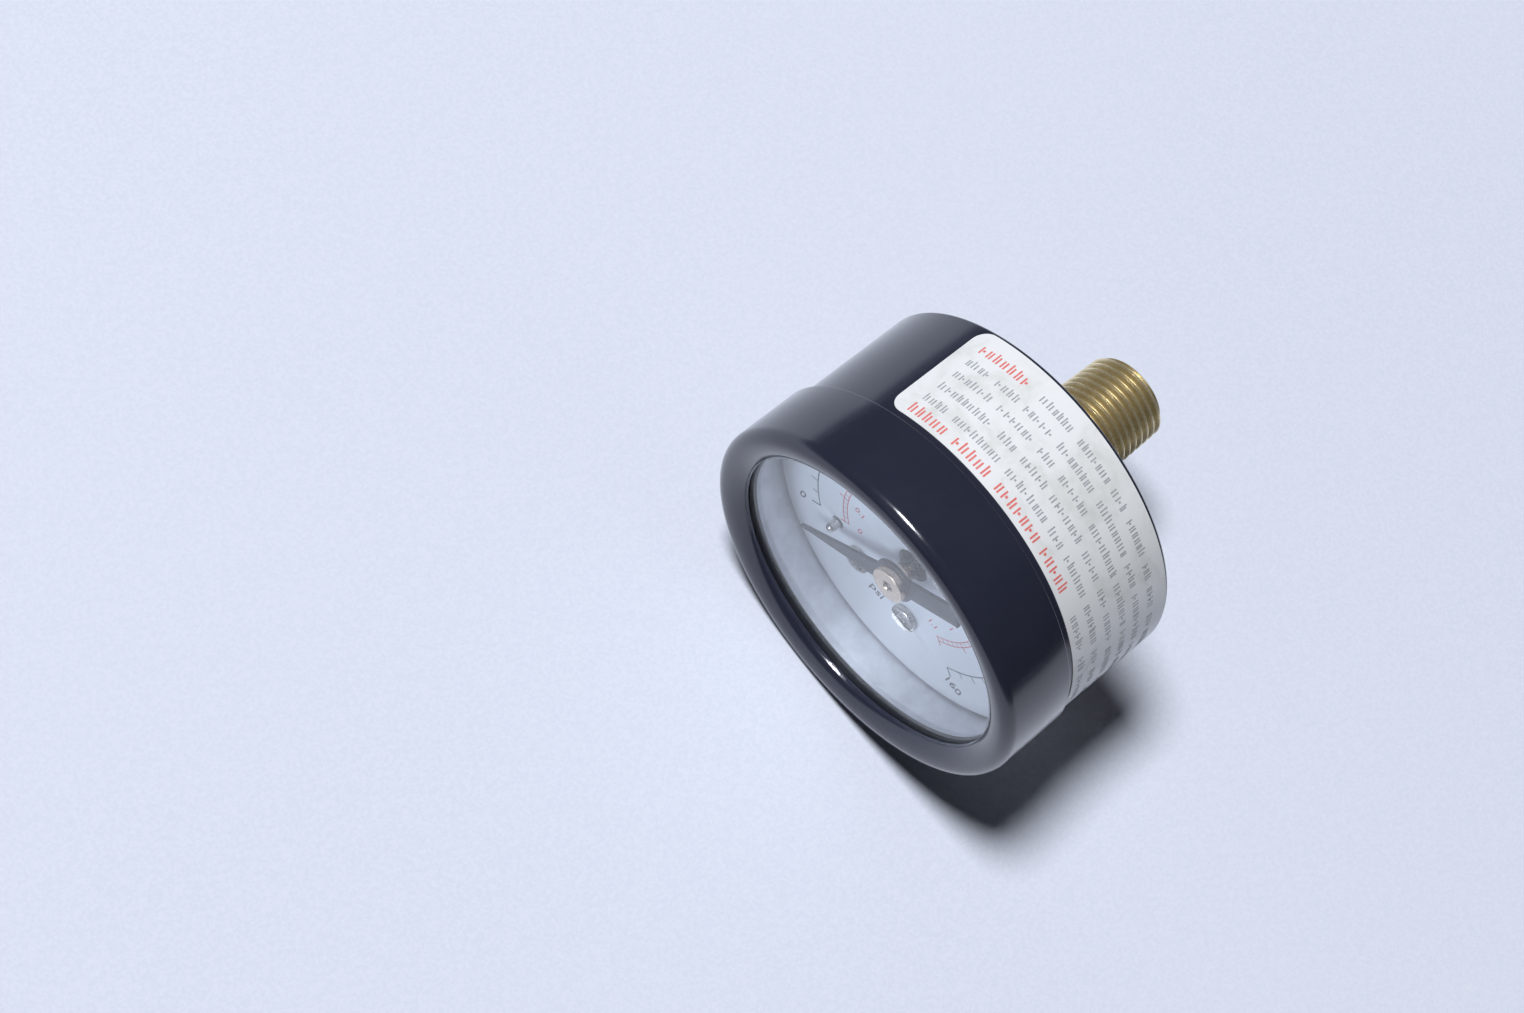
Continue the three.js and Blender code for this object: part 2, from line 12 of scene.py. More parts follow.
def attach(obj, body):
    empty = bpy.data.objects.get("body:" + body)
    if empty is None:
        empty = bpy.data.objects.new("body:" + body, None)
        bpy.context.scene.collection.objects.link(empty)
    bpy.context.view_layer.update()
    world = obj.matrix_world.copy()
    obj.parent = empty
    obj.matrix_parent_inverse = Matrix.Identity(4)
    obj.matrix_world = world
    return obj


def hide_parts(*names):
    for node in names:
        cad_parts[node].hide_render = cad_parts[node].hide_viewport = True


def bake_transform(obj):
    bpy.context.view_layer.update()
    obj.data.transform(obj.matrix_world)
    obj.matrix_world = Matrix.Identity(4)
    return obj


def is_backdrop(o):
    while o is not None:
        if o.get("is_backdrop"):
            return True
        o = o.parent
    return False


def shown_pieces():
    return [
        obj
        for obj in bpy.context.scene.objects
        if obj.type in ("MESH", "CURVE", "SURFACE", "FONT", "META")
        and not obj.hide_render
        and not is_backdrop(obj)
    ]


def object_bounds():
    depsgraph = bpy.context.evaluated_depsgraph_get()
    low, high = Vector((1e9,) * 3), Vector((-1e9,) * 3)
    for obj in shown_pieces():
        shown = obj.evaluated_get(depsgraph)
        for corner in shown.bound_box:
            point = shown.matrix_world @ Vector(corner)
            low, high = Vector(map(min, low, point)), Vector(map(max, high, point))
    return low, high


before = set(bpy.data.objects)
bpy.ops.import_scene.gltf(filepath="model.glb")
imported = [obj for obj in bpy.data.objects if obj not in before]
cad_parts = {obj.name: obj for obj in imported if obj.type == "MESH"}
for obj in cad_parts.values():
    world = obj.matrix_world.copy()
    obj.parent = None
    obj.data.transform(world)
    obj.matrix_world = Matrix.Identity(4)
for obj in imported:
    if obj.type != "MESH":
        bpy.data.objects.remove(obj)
CAD_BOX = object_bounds()
random.seed(7)

MM = 0.001
OVERALL = 40.1
rad = math.radians


def Y(s):
    return s - OVERALL


def polar(r, deg):
    return (r * math.cos(rad(deg)), r * math.sin(rad(deg)))


# ------------------------------------------------------------------ geometry helpers
class Geo:
    """Vertices in millimetres, faces, and one material index per face."""

    def __init__(self):
        self.v, self.f, self.m = [], [], []

    def add(self, verts, faces, mat=0):
        n = len(self.v)
        self.v += [tuple(p) for p in verts]
        self.f += [tuple(i + n for i in f) for f in faces]
        self.m += [mat] * len(faces)
        return self

    def merge(self, other, mat=None):
        n = len(self.v)
        self.v += other.v
        self.f += [tuple(i + n for i in f) for f in other.f]
        self.m += other.m if mat is None else [mat] * len(other.f)
        return self


def build(name, geo, mats, body="housing", sharp=32, weld=1e-4, replaces=(), parent=True):
    """Geo -> object in metres, welded, faces out, smooth with sharp edges by angle."""
    me = bpy.data.meshes.new(name)
    me.from_pydata(geo.v, [], geo.f)
    for p, k in zip(me.polygons, geo.m):
        p.material_index = k
    bm = bmesh.new()
    bm.from_mesh(me)
    if weld:
        bmesh.ops.remove_doubles(bm, verts=bm.verts, dist=weld)
        bmesh.ops.dissolve_degenerate(bm, edges=bm.edges, dist=weld * 0.5)
    loose = [v for v in bm.verts if not v.link_faces]
    if loose:
        bmesh.ops.delete(bm, geom=loose, context="VERTS")
    bmesh.ops.recalc_face_normals(bm, faces=bm.faces)
    bmesh.ops.scale(bm, vec=(MM, MM, MM), verts=bm.verts)
    bm.to_mesh(me)
    bm.free()
    for p in me.polygons:
        p.use_smooth = True
    me.set_sharp_from_angle(angle=rad(sharp))
    ob = bpy.data.objects.new(name, me)
    bpy.context.scene.collection.objects.link(ob)
    for m in mats if isinstance(mats, (list, tuple)) else [mats]:
        me.materials.append(m)
    if parent:
        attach(ob, body)
    if replaces:
        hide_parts(*replaces)
    return ob


def arc(cr, cs, r, a0, a1, n):
    return [(cr + r * math.cos(rad(a0 + (a1 - a0) * i / n)), cs + r * math.sin(rad(a0 + (a1 - a0) * i / n))) for i in range(n + 1)]


def lathe(profile, seg=160, at=(0.0, 0.0), mat=0, mats=None):
    """Profile of (radius, s) turned about a line parallel to Y through at = (x, z)."""
    g = Geo()
    closed = profile[0][0] > 1e-9 or profile[-1][0] > 1e-9
    pts = list(profile)
    n = len(pts)
    index = []
    for r, s in pts:
        if r <= 1e-9:
            index.append([len(g.v)])
            g.v.append((at[0], Y(s), at[1]))
        else:
            index.append(list(range(len(g.v), len(g.v) + seg)))
            for k in range(seg):
                a = 2 * math.pi * k / seg
                g.v.append((at[0] + r * math.cos(a), Y(s), at[1] + r * math.sin(a)))
    for i in range(n if closed else n - 1):
        a, b = index[i], index[(i + 1) % n]
        kind = mats[i] if mats else mat
        for k in range(seg):
            k2 = (k + 1) % seg
            if len(a) == 1 and len(b) == 1:
                continue
            if len(a) == 1:
                g.f.append((a[0], b[k], b[k2]))
            elif len(b) == 1:
                g.f.append((a[k], a[k2], b[0]))
            else:
                g.f.append((a[k], a[k2], b[k2], b[k]))
            g.m.append(kind)
    return g


def ring(x, z, r, n=32, start=0.0):
    return [(x + r * math.cos(2 * math.pi * i / n + start), z + r * math.sin(2 * math.pi * i / n + start)) for i in range(n)]


def hull(circles, n=28):
    pts = sorted(p for c in circles for p in ring(c[0], c[1], c[2], n))

    def half(seq):
        h = []
        for p in seq:
            while len(h) > 1 and (h[-1][0] - h[-2][0]) * (p[1] - h[-2][1]) - (h[-1][1] - h[-2][1]) * (p[0] - h[-2][0]) <= 1e-9:
                h.pop()
            h.append(p)
        return h[:-1]
    return half(pts) + half(pts[::-1])


def round_corners(pts, radius, n=5):
    """Rounds every corner of a polygon of (x, z); radius is one number or one per corner."""
    out = []
    count = len(pts)
    for i, p in enumerate(pts):
        r = radius[i] if isinstance(radius, (list, tuple)) else radius
        a, b = Vector(pts[i - 1]) - Vector(p), Vector(pts[(i + 1) % count]) - Vector(p)
        ang = a.angle(b)
        if r <= 0 or ang > math.pi - 0.03:
            out.append(tuple(p))
            continue
        d = min(r / math.tan(ang / 2), a.length * 0.49, b.length * 0.49)
        p0, p1 = Vector(p) + a.normalized() * d, Vector(p) + b.normalized() * d
        for k in range(n + 1):
            t = k / n
            q = (1 - t) ** 2 * p0 + 2 * t * (1 - t) * Vector(p) + t ** 2 * p1
            out.append((q.x, q.y))
    return out


def from_object(ob, drop=True):
    """Evaluated mesh of an object built in millimetres, as a Geo."""
    dg = bpy.context.evaluated_depsgraph_get()
    me = bpy.data.meshes.new_from_object(ob.evaluated_get(dg))
    g = Geo()
    g.add([tuple(v.co) for v in me.vertices], [tuple(p.vertices) for p in me.polygons])
    g.m = [p.material_index for p in me.polygons]
    bpy.data.meshes.remove(me)
    if drop:
        data = ob.data
        bpy.data.objects.remove(ob)
        (bpy.data.meshes if isinstance(data, bpy.types.Mesh) else bpy.data.curves).remove(data)
    return g


def plate(outlines, s0, s1, bevel=0.04, mat=0):
    """Flat plate from s0 to s1: the first outline is the rim, the others are holes; edges rounded by bevel."""
    cu = bpy.data.curves.new("tmp", "CURVE")
    cu.dimensions = "2D"
    cu.fill_mode = "BOTH"
    cu.bevel_depth = bevel
    cu.bevel_resolution = 1
    cu.extrude = (s1 - s0) / 2 - bevel
    cu.offset = -bevel
    for o in outlines:
        sp = cu.splines.new("POLY")
        sp.points.add(len(o) - 1)
        for p, (x, z) in zip(sp.points, o):
            p.co = (x, z, 0, 1)
        sp.use_cyclic_u = True
    ob = bpy.data.objects.new("tmp", cu)
    bpy.context.scene.collection.objects.link(ob)
    bpy.context.view_layer.update()
    g = from_object(ob)
    mid = Y((s0 + s1) / 2)
    g.v = [(x, mid - z, y) for x, y, z in g.v]
    g.m = [mat] * len(g.f)
    return g


def raw(geo, name="tmp"):
    me = bpy.data.meshes.new(name)
    me.from_pydata(geo.v, [], geo.f)
    for p, k in zip(me.polygons, geo.m):
        p.material_index = k
    bm = bmesh.new()
    bm.from_mesh(me)
    bmesh.ops.remove_doubles(bm, verts=bm.verts, dist=1e-4)
    bmesh.ops.recalc_face_normals(bm, faces=bm.faces)
    bm.to_mesh(me)
    bm.free()
    ob = bpy.data.objects.new(name, me)
    bpy.context.scene.collection.objects.link(ob)
    return ob


def boolean(base, others, op="DIFFERENCE"):
    ob = raw(base)
    tools = [raw(o) for o in others]
    for t in tools:
        m = ob.modifiers.new("b", "BOOLEAN")
        m.operation, m.solver, m.object = op, "EXACT", t
    bpy.context.view_layer.update()
    g = from_object(ob, drop=False)
    for t in [ob, *tools]:
        data = t.data
        bpy.data.objects.remove(t)
        bpy.data.meshes.remove(data)
    return g


def box(x0, x1, s0, s1, z0, z1, turn=0.0, about=(0, 0), mat=0):
    c, s = math.cos(rad(turn)), math.sin(rad(turn))
    v = []
    for x in (x0, x1):
        for y in (Y(s0), Y(s1)):
            for z in (z0, z1):
                v.append((about[0] + x * c - z * s, y, about[1] + x * s + z * c))
    f = [(0, 1, 3, 2), (4, 6, 7, 5), (0, 4, 5, 1), (2, 3, 7, 6), (0, 2, 6, 4), (1, 5, 7, 3)]
    return Geo().add(v, f, mat)


def cad(node):
    """The CAD node's own mesh as a Geo in millimetres."""
    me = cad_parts[node].data
    g = Geo()
    g.add([tuple(c / MM for c in v.co) for v in me.vertices], [tuple(p.vertices) for p in me.polygons])
    return g


def bevelled(geo, width=0.06, segments=2, angle=38):
    """Welds a Geo and rounds its sharp edges."""
    ob = raw(geo)
    bm = bmesh.new()
    bm.from_mesh(ob.data)
    bmesh.ops.dissolve_limit(bm, angle_limit=rad(2), verts=bm.verts, edges=bm.edges)
    bm.to_mesh(ob.data)
    bm.free()
    m = ob.modifiers.new("b", "BEVEL")
    m.width, m.segments, m.limit_method, m.angle_limit = width, segments, "ANGLE", rad(angle)
    m.use_clamp_overlap = True
    bpy.context.view_layer.update()
    return from_object(ob)


def text(body, size, x, z, deg=0.0, s=8.9, thick=0.012, mat=0, space=1.0, weight=0.0):
    """Raised printing that faces -Y, centred on (x, z), with its underside at s."""
    cu = bpy.data.curves.new("tmp", "FONT")
    cu.body, cu.size = body, size
    cu.align_x, cu.align_y = "CENTER", "CENTER"
    cu.extrude = thick / 2
    cu.resolution_u = 3
    cu.space_character = space
    cu.offset = weight
    ob = bpy.data.objects.new("tmp", cu)
    bpy.context.scene.collection.objects.link(ob)
    bpy.context.view_layer.update()
    g = from_object(ob)
    lo = [min(p[k] for p in g.v) for k in (0, 1)]
    hi = [max(p[k] for p in g.v) for k in (0, 1)]
    mx, my = (lo[0] + hi[0]) / 2, (lo[1] + hi[1]) / 2
    c, sn = math.cos(rad(deg)), math.sin(rad(deg))
    g.v = [(x + (a - mx) * c - (b - my) * sn, Y(s) - thick / 2 - h, z + (a - mx) * sn + (b - my) * c) for a, b, h in g.v]
    g.m = [mat] * len(g.f)
    return g


def arc_band(r0, r1, a0, a1, s=8.9, thick=0.012, step=2.0, mat=0):
    """Raised band between two radii from angle a0 to a1, printed on the dial."""
    n = max(1, int(abs(a1 - a0) / step))
    v, f = [], []
    for i in range(n + 1):
        a = a0 + (a1 - a0) * i / n
        for r in (r0, r1):
            for y in (Y(s), Y(s) - thick):
                x, z = polar(r, a)
                v.append((x, y, z))
    for i in range(n):
        k, j = 4 * i, 4 * i + 4
        f += [(k, k + 1, j + 1, j), (k + 2, j + 2, j + 3, k + 3), (k, j, j + 2, k + 2), (k + 1, k + 3, j + 3, j + 1)]
    f += [(0, 2, 3, 1), (4 * n, 4 * n + 1, 4 * n + 3, 4 * n + 2)]
    return Geo().add(v, f, mat)


def tick(r0, r1, deg, width, s=8.9, thick=0.012, mat=0):
    """Raised straight mark along a radius."""
    g = box(r0, r1, s - thick, s, -width / 2, width / 2, turn=deg, mat=mat)
    return g


def slotted_screw(at, head_r, h, shank_r, s, end, slot_deg, slot_w, slot_d, flip=False, seg=56):
    """Pan-head screw along +Y with its head's front at s, or at the far end when flip is set."""
    prof = [(0.0, 0.0)]
    prof += [(head_r * 0.55, 0.012), (head_r * 0.76, 0.06)]
    prof += [(head_r * (0.76 + 0.24 * math.sin(rad(t))), h * 0.42 - (h * 0.42 - 0.06) * math.cos(rad(t))) for t in (15, 30, 45, 60, 75, 90)]
    prof += [(head_r, h - 0.05), (head_r - 0.05, h), (shank_r, h)]
    length = end - s
    k, pitch = h + 0.35, 0.42
    while k < length - 0.5:
        prof += [(shank_r, k), (shank_r - 0.13, k + pitch * 0.5)]
        k += pitch
    prof += [(shank_r - 0.1, length - 0.12), (shank_r - 0.22, length), (0.0, length)]
    if flip:
        prof = [(r, end - d) for r, d in prof]
        cutter = box(-head_r * 1.3, head_r * 1.3, end - slot_d, end + 1.0, -slot_w / 2, slot_w / 2, turn=slot_deg, about=at)
    else:
        prof = [(r, s + d) for r, d in prof]
        cutter = box(-head_r * 1.3, head_r * 1.3, s - 1.0, s + slot_d, -slot_w / 2, slot_w / 2, turn=slot_deg, about=at)
    return boolean(lathe(prof, seg, at), [cutter])


# ------------------------------------------------------------------ materials
class Mat:
    """A Principled material whose detail comes from object-space noise, in millimetres."""

    def __init__(self, name):
        self.m = bpy.data.materials.new(name)
        self.m.use_nodes = True
        nt = self.nt = self.m.node_tree
        nt.nodes.clear()
        self.out = nt.nodes.new("ShaderNodeOutputMaterial")
        self.b = nt.nodes.new("ShaderNodeBsdfPrincipled")
        nt.links.new(self.b.outputs["BSDF"], self.out.inputs["Surface"])
        tc = nt.nodes.new("ShaderNodeTexCoord")
        sc = self.vec("SCALE", tc.outputs["Object"])
        sc.inputs["Scale"].default_value = 1000.0
        self.p = sc.outputs[0]

    def vec(self, op, a, b=None):
        n = self.nt.nodes.new("ShaderNodeVectorMath")
        n.operation = op
        self.nt.links.new(a, n.inputs[0])
        if b is not None:
            if isinstance(b, (tuple, list)):
                n.inputs[1].default_value = b
            else:
                self.nt.links.new(b, n.inputs[1])
        return n

    def stretch(self, x, y, z):
        return self.vec("MULTIPLY", self.p, (x, y, z)).outputs[0]

    def radius(self):
        return self.vec("LENGTH", self.vec("MULTIPLY", self.p, (1, 0, 1)).outputs[0]).outputs["Value"]

    def height(self):
        n = self.nt.nodes.new("ShaderNodeSeparateXYZ")
        self.nt.links.new(self.p, n.inputs[0])
        return n.outputs["Y"]

    def math(self, op, a, b=0.0, clamp=False):
        n = self.nt.nodes.new("ShaderNodeMath")
        n.operation, n.use_clamp = op, clamp
        for i, x in enumerate((a, b)):
            if isinstance(x, (int, float)):
                n.inputs[i].default_value = x
            else:
                self.nt.links.new(x, n.inputs[i])
        return n.outputs[0]

    def noise(self, scale, detail=3.0, rough=0.55, vec=None, distortion=0.0):
        n = self.nt.nodes.new("ShaderNodeTexNoise")
        n.inputs["Scale"].default_value = scale
        n.inputs["Detail"].default_value = detail
        n.inputs["Roughness"].default_value = rough
        n.inputs["Distortion"].default_value = distortion
        self.nt.links.new(vec if vec is not None else self.p, n.inputs["Vector"])
        return n.outputs["Fac"]

    def cells(self, scale, vec=None, feature="F1"):
        n = self.nt.nodes.new("ShaderNodeTexVoronoi")
        n.feature = feature
        n.inputs["Scale"].default_value = scale
        self.nt.links.new(vec if vec is not None else self.p, n.inputs["Vector"])
        return n.outputs["Distance"]

    def waves(self, scale, axis="Y", distortion=0.0, vec=None):
        n = self.nt.nodes.new("ShaderNodeTexWave")
        n.wave_type, n.bands_direction = "BANDS", axis
        n.inputs["Scale"].default_value = scale
        n.inputs["Distortion"].default_value = distortion
        self.nt.links.new(vec if vec is not None else self.p, n.inputs["Vector"])
        return n.outputs["Fac"]

    def remap(self, x, a, b, c, d, smooth=False):
        n = self.nt.nodes.new("ShaderNodeMapRange")
        n.interpolation_type = "SMOOTHSTEP" if smooth else "LINEAR"
        for i, value in enumerate((a, b, c, d)):
            n.inputs[i + 1].default_value = value
        self.nt.links.new(x, n.inputs[0])
        return n.outputs[0]

    def mix(self, fac, a, b):
        n = self.nt.nodes.new("ShaderNodeMix")
        n.data_type = "RGBA"
        self.nt.links.new(fac, n.inputs[0])
        for sock, x in ((n.inputs[6], a), (n.inputs[7], b)):
            if isinstance(x, (tuple, list)):
                sock.default_value = (*x, 1.0)
            else:
                self.nt.links.new(x, sock)
        return n.outputs[2]

    def bump(self, height, strength, distance, normal=None):
        n = self.nt.nodes.new("ShaderNodeBump")
        n.inputs["Strength"].default_value = strength
        n.inputs["Distance"].default_value = distance
        self.nt.links.new(height, n.inputs["Height"])
        if normal is not None:
            self.nt.links.new(normal, n.inputs["Normal"])
        return n.outputs["Normal"]

    def set(self, **values):
        for k, v in values.items():
            self.b.inputs[k.replace("_", " ")].default_value = v
        return self

    def link(self, **outputs):
        for k, v in outputs.items():
            self.nt.links.new(v, self.b.inputs[k.replace("_", " ")])
        return self


def gloss_black():
    m = Mat("gloss_black_paint")
    wide, fine = m.noise(0.16, 3), m.noise(1.1, 5, 0.6)
    dust = m.remap(m.noise(7.0, 2, 0.7), 0.70, 0.80, 0.0, 0.35)
    base = m.mix(wide, (0.0200, 0.0220, 0.0375), (0.0285, 0.0310, 0.0490))
    base = m.mix(dust, base, (0.060, 0.064, 0.078))
    rough = m.math("ADD", m.remap(fine, 0.3, 0.75, 0.13, 0.22), m.remap(dust, 0, 1, 0.0, 0.4))
    peel = m.bump(m.noise(1.5, 2, 0.5), 0.10, 0.00003)
    m.link(Base_Color=base, Roughness=rough, Normal=m.bump(m.noise(12.0, 3, 0.6), 0.05, 0.00001, peel))
    m.set(IOR=1.5, Coat_Weight=0.45, Coat_Roughness=0.06)
    return m.m


def glass():
    m = Mat("clear_window")
    smear = m.noise(0.35, 4, 0.6, vec=m.stretch(1.0, 1.0, 0.45), distortion=0.6)
    m.link(Roughness=m.remap(smear, 0.4, 0.8, 0.004, 0.03), Base_Color=m.mix(smear, (0.97, 0.985, 1.0), (0.94, 0.96, 0.985)))
    m.set(IOR=1.49, Transmission_Weight=1.0)
    # lamps and the lit floor light the dial through the window, as they do through real glass
    nt, shader = m.nt, m.b.outputs["BSDF"]
    path = nt.nodes.new("ShaderNodeLightPath")
    clear = nt.nodes.new("ShaderNodeBsdfTransparent")
    clear.inputs["Color"].default_value = (0.94, 0.96, 0.98, 1.0)
    for kind in ("Is Diffuse Ray", "Is Shadow Ray"):
        swap = nt.nodes.new("ShaderNodeMixShader")
        nt.links.new(path.outputs[kind], swap.inputs[0])
        nt.links.new(shader, swap.inputs[1])
        nt.links.new(clear.outputs["BSDF"], swap.inputs[2])
        shader = swap.outputs[0]
    nt.links.new(shader, m.out.inputs["Surface"])
    return m.m


def rubber():
    m = Mat("black_rubber")
    n = m.noise(1.2, 5, 0.65)
    m.link(Base_Color=m.mix(n, (0.012, 0.012, 0.013), (0.03, 0.03, 0.031)), Roughness=m.remap(n, 0.3, 0.7, 0.5, 0.75),
           Normal=m.bump(m.noise(9.0, 3), 0.25, 0.00002))
    return m.m


def dial_white():
    m = Mat("dial_enamel")
    wide, fine = m.noise(0.12, 3), m.noise(5.0, 4, 0.6)
    m.link(Base_Color=m.mix(wide, (0.74, 0.76, 0.80), (0.83, 0.845, 0.87)), Roughness=m.remap(fine, 0.3, 0.7, 0.34, 0.48),
           Normal=m.bump(fine, 0.06, 0.00001))
    m.set(IOR=1.48, Coat_Weight=0.15, Coat_Roughness=0.2)
    return m.m


def ink(name, light, dark, rough=0.45):
    m = Mat(name)
    n = m.noise(3.5, 4, 0.65)
    m.link(Base_Color=m.mix(m.remap(n, 0.35, 0.7, 0.0, 1.0), dark, light), Roughness=m.remap(n, 0.3, 0.7, rough - 0.08, rough + 0.1))
    return m.m


def steel(name="plated_steel", light=(0.63, 0.64, 0.66), dark=(0.40, 0.40, 0.41), r0=0.22, r1=0.42, turned=True):
    m = Mat(name)
    wide, fine = m.noise(0.5, 4, 0.6), m.noise(6.0, 4, 0.6)
    scratch = m.noise(2.2, 4, 0.7, vec=m.stretch(1, 9, 1) if turned else m.stretch(9, 1, 1))
    m.link(Base_Color=m.mix(m.remap(wide, 0.35, 0.7, 0, 1), light, dark), Roughness=m.remap(fine, 0.3, 0.7, r0, r1),
           Normal=m.bump(scratch, 0.12, 0.00002))
    m.set(Metallic=1.0)
    return m.m


def brass(name="machined_brass", light=(0.70, 0.55, 0.27), dark=(0.36, 0.28, 0.13), tarnish=0.55, rough=(0.2, 0.4)):
    m = Mat(name)
    wide, mid, fine = m.noise(0.32, 4, 0.6, distortion=0.4), m.noise(1.4, 5, 0.65), m.noise(9.0, 3, 0.6)
    stain = m.math("MULTIPLY", m.remap(wide, 0.38, 0.68, 0, 1, True), m.remap(mid, 0.3, 0.7, 0.4, 1.0))
    base = m.mix(m.math("MULTIPLY", stain, tarnish), light, dark)
    lines = m.noise(3.0, 3, 0.7, vec=m.stretch(0.25, 14, 0.25))
    m.link(Base_Color=base, Roughness=m.math("ADD", m.remap(fine, 0.3, 0.7, rough[0], rough[1]), m.remap(stain, 0, 1, 0, 0.14)),
           Normal=m.bump(lines, 0.14, 0.00002))
    m.set(Metallic=1.0)
    return m.m


def thread_brass():
    """Brass, light on the crests and darker in the roots of the taper thread."""
    m = Mat("thread_brass")
    wide, mid, fine = m.noise(0.4, 4, 0.6, distortion=0.5), m.noise(1.8, 5, 0.65), m.noise(10.0, 3, 0.6)
    # 0 on the crests and -0.7 in the roots of the taper; below that, the end face and the bore
    depth = m.math("SUBTRACT", m.radius(), m.math("SUBTRACT", 4.99, m.math("MULTIPLY", m.height(), 1 / 32)))
    # darker base colour in the thread's roots, growing with depth below the crest, mixed with random stains
    root = m.remap(depth, -0.34, -0.03, 1.0, 0.0, True)
    stain = m.math("MULTIPLY", m.remap(wide, 0.4, 0.66, 0, 1, True), m.remap(mid, 0.3, 0.7, 0.35, 1.0))
    stains_and_dark_roots = m.math("MAXIMUM", m.math("MULTIPLY", stain, 0.55), m.math("MULTIPLY", root, m.remap(mid, 0.25, 0.75, 0.65, 1.0)))
    base = m.mix(stains_and_dark_roots, (1.0, 0.87, 0.58), (0.42, 0.33, 0.155))
    m.link(Base_Color=base, Roughness=m.math("ADD", m.remap(fine, 0.3, 0.7, 0.17, 0.33), m.remap(stains_and_dark_roots, 0, 1, 0, 0.2)),
           Normal=m.bump(m.noise(4.0, 4, 0.7, vec=m.stretch(0.3, 3, 0.3)), 0.22, 0.00003))
    m.set(Metallic=0.78)
    return m.m


def bronze(name, light=(0.66, 0.40, 0.21), dark=(0.34, 0.19, 0.10)):
    m = Mat(name)
    wide, fine = m.noise(0.3, 5, 0.65, distortion=0.8), m.noise(7.0, 4, 0.6)
    m.link(Base_Color=m.mix(m.remap(wide, 0.35, 0.7, 0, 1, True), light, dark), Roughness=m.remap(fine, 0.3, 0.7, 0.24, 0.42),
           Normal=m.bump(m.noise(2.5, 4, 0.6), 0.1, 0.00002))
    m.set(Metallic=1.0)
    return m.m


def label_film():
    m = Mat("label_film")
    wide, mid, fine = m.noise(0.16, 4, 0.6, distortion=0.8), m.noise(0.55, 5, 0.65), m.noise(6.0, 4, 0.6)
    smudge = m.math("MULTIPLY", m.remap(wide, 0.47, 0.70, 0, 1, True), m.remap(mid, 0.3, 0.7, 0.3, 1.0))
    base = m.mix(m.math("MULTIPLY", smudge, 0.6), (0.90, 0.90, 0.88), (0.58, 0.59, 0.52))
    m.link(Base_Color=base, Roughness=m.remap(fine, 0.3, 0.7, 0.28, 0.42), Normal=m.bump(m.noise(1.1, 3), 0.12, 0.00003))
    m.set(IOR=1.48, Coat_Weight=0.25, Coat_Roughness=0.15)
    return m.m


def pointer_black():
    m = Mat("pointer_paint")
    n = m.noise(3.0, 4, 0.6)
    m.link(Base_Color=m.mix(n, (0.010, 0.010, 0.012), (0.022, 0.022, 0.025)), Roughness=m.remap(n, 0.3, 0.7, 0.3, 0.45),
           Normal=m.bump(m.noise(9.0, 3), 0.08, 0.00001))
    return m.m


BLACK, GLASS, RUBBER, DIAL = gloss_black(), glass(), rubber(), dial_white()
STEEL, BRASS, THREAD = steel(), brass(), thread_brass()
SCREW = steel("nickel_screw", (0.66, 0.64, 0.60), (0.38, 0.36, 0.33), 0.18, 0.36)
INNER = steel("bare_steel_inside", (0.68, 0.69, 0.72), (0.54, 0.55, 0.58), 0.35, 0.55, turned=False)
ARBOR = steel("arbor_steel", (0.50, 0.50, 0.52), (0.30, 0.30, 0.31), 0.2, 0.35)
PLATE = brass("plate_brass", (0.72, 0.57, 0.30), (0.48, 0.37, 0.18), 0.35, (0.22, 0.38))
BOSS = brass("boss_brass", (0.74, 0.60, 0.46), (0.52, 0.40, 0.28), 0.35, (0.16, 0.30))
TUBE = bronze("tube_bronze")
SPRING = bronze("spring_bronze", (0.72, 0.46, 0.24), (0.50, 0.30, 0.15))
LABEL = label_film()
POINTER = pointer_black()
INK_BLACK = ink("dial_ink_black", (0.05, 0.05, 0.06), (0.02, 0.02, 0.025))
INK_RED = ink("dial_ink_red", (0.62, 0.07, 0.08), (0.50, 0.035, 0.045))
LABEL_RED = ink("label_ink_red", (0.86, 0.27, 0.24), (0.80, 0.17, 0.15), 0.4)
LABEL_GREY = ink("label_ink_grey", (0.50, 0.51, 0.52), (0.34, 0.35, 0.36), 0.4)

# ------------------------------------------------------------------ bezel
BR, CR, OR, ROLL = 21.3, 1.35, 17.72, 3.02
bezel = [(20.87, 8.76), (20.91, 8.8), (21.14, 8.8)]
bezel += arc(21.14, 8.64, 0.16, 80, 0, 4)
bezel += [(BR, 5.0)]
bezel += arc(BR - CR, CR, CR, 0, -90, 14)
bezel += arc(BR - CR, ROLL, ROLL, -90, -134, 14)[1:]      # rolled face, falling towards the opening
bezel += [(17.79, 0.92), (17.74, 0.99), (OR, 1.08), (OR, 1.50), (OR + 0.05, 1.55), (20.80, 1.55), (20.87, 1.62)]
build("bezel_ring", lathe(bezel, 224), BLACK, replaces=("bezel",))

# ------------------------------------------------------------------ case
case = [(0.0, 23.6), (7.0, 23.6), (19.2, 23.6)]
case += arc(20.3, 23.2, 0.4, 90, 0, 8)
case += [(20.7, 15.0), (20.7, 3.85), (20.62, 3.75), (20.03, 3.75), (19.95, 3.85), (19.95, 22.1)]
case += arc(19.35, 22.1, 0.6, 0, 90, 6)
case += [(0.0, 22.7)]
kinds = [1 if i >= case.index((19.95, 3.85)) else 0 for i in range(len(case))]
shell = lathe(case, 224, mats=kinds)
H = 5.7
hole = Geo().merge(plate([round_corners([(-H, -H), (H, -H), (H, H), (-H, H)], 0.35, 4)], 21.0, 26.0, 0.001))
shell = boolean(shell, [hole, lathe([(0, 21), (1.15, 21), (1.15, 26), (0, 26)], 40, (8.3, 0)), lathe([(0, 21), (1.15, 21), (1.15, 26), (0, 26)], 40, (-8.3, 0))])
